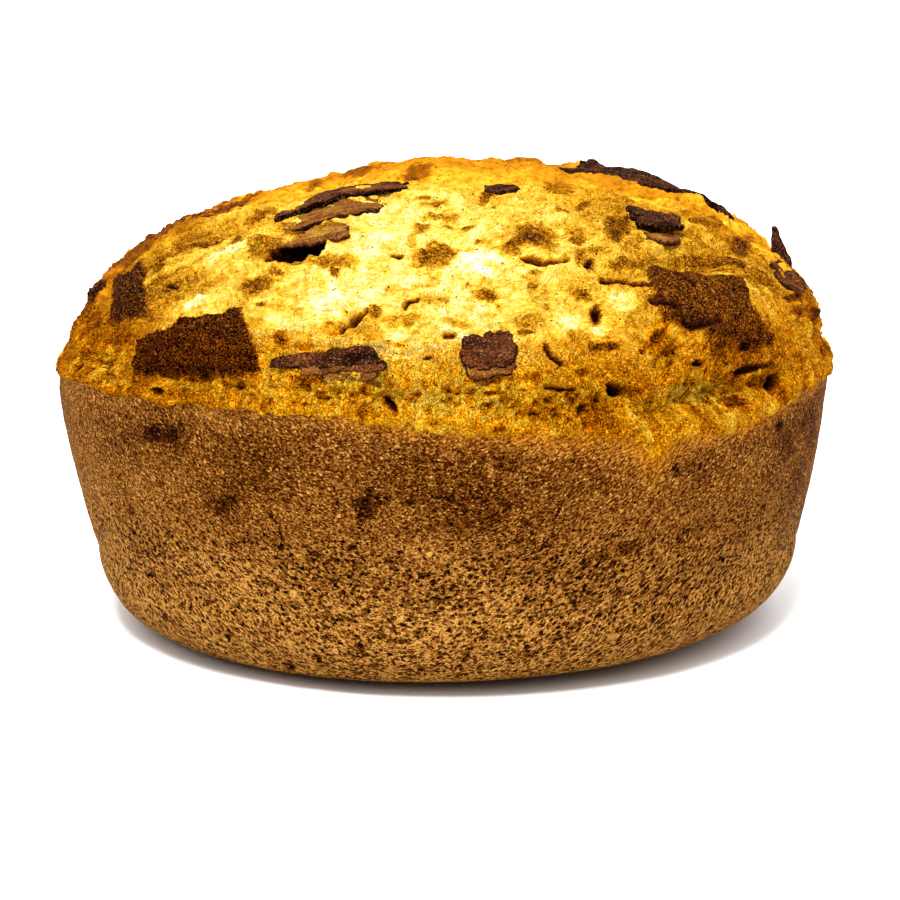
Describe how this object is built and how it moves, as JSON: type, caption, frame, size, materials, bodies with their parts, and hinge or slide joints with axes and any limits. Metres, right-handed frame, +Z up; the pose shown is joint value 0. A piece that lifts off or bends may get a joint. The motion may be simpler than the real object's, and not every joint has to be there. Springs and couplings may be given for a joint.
{
  "type": "soda bread loaf",
  "caption": "Round tin-baked soda bread loaf with a smooth flared wall and a craggy domed crust with scorched flakes.",
  "frame": {"origin": "centre of the bounding box in plan, at the surface that the loaf rests on", "axes": "+Z up through the crown of the dome; -Y towards the side with the burst shoulder to its right; +X to the right seen from that side"},
  "size_m": [0.202, 0.2014, 0.121],
  "materials": {
    "baked_crust": "matte"
  },
  "bodies": {
    "root": {"loaf": "baked_crust"}
  },
  "joints": []
}
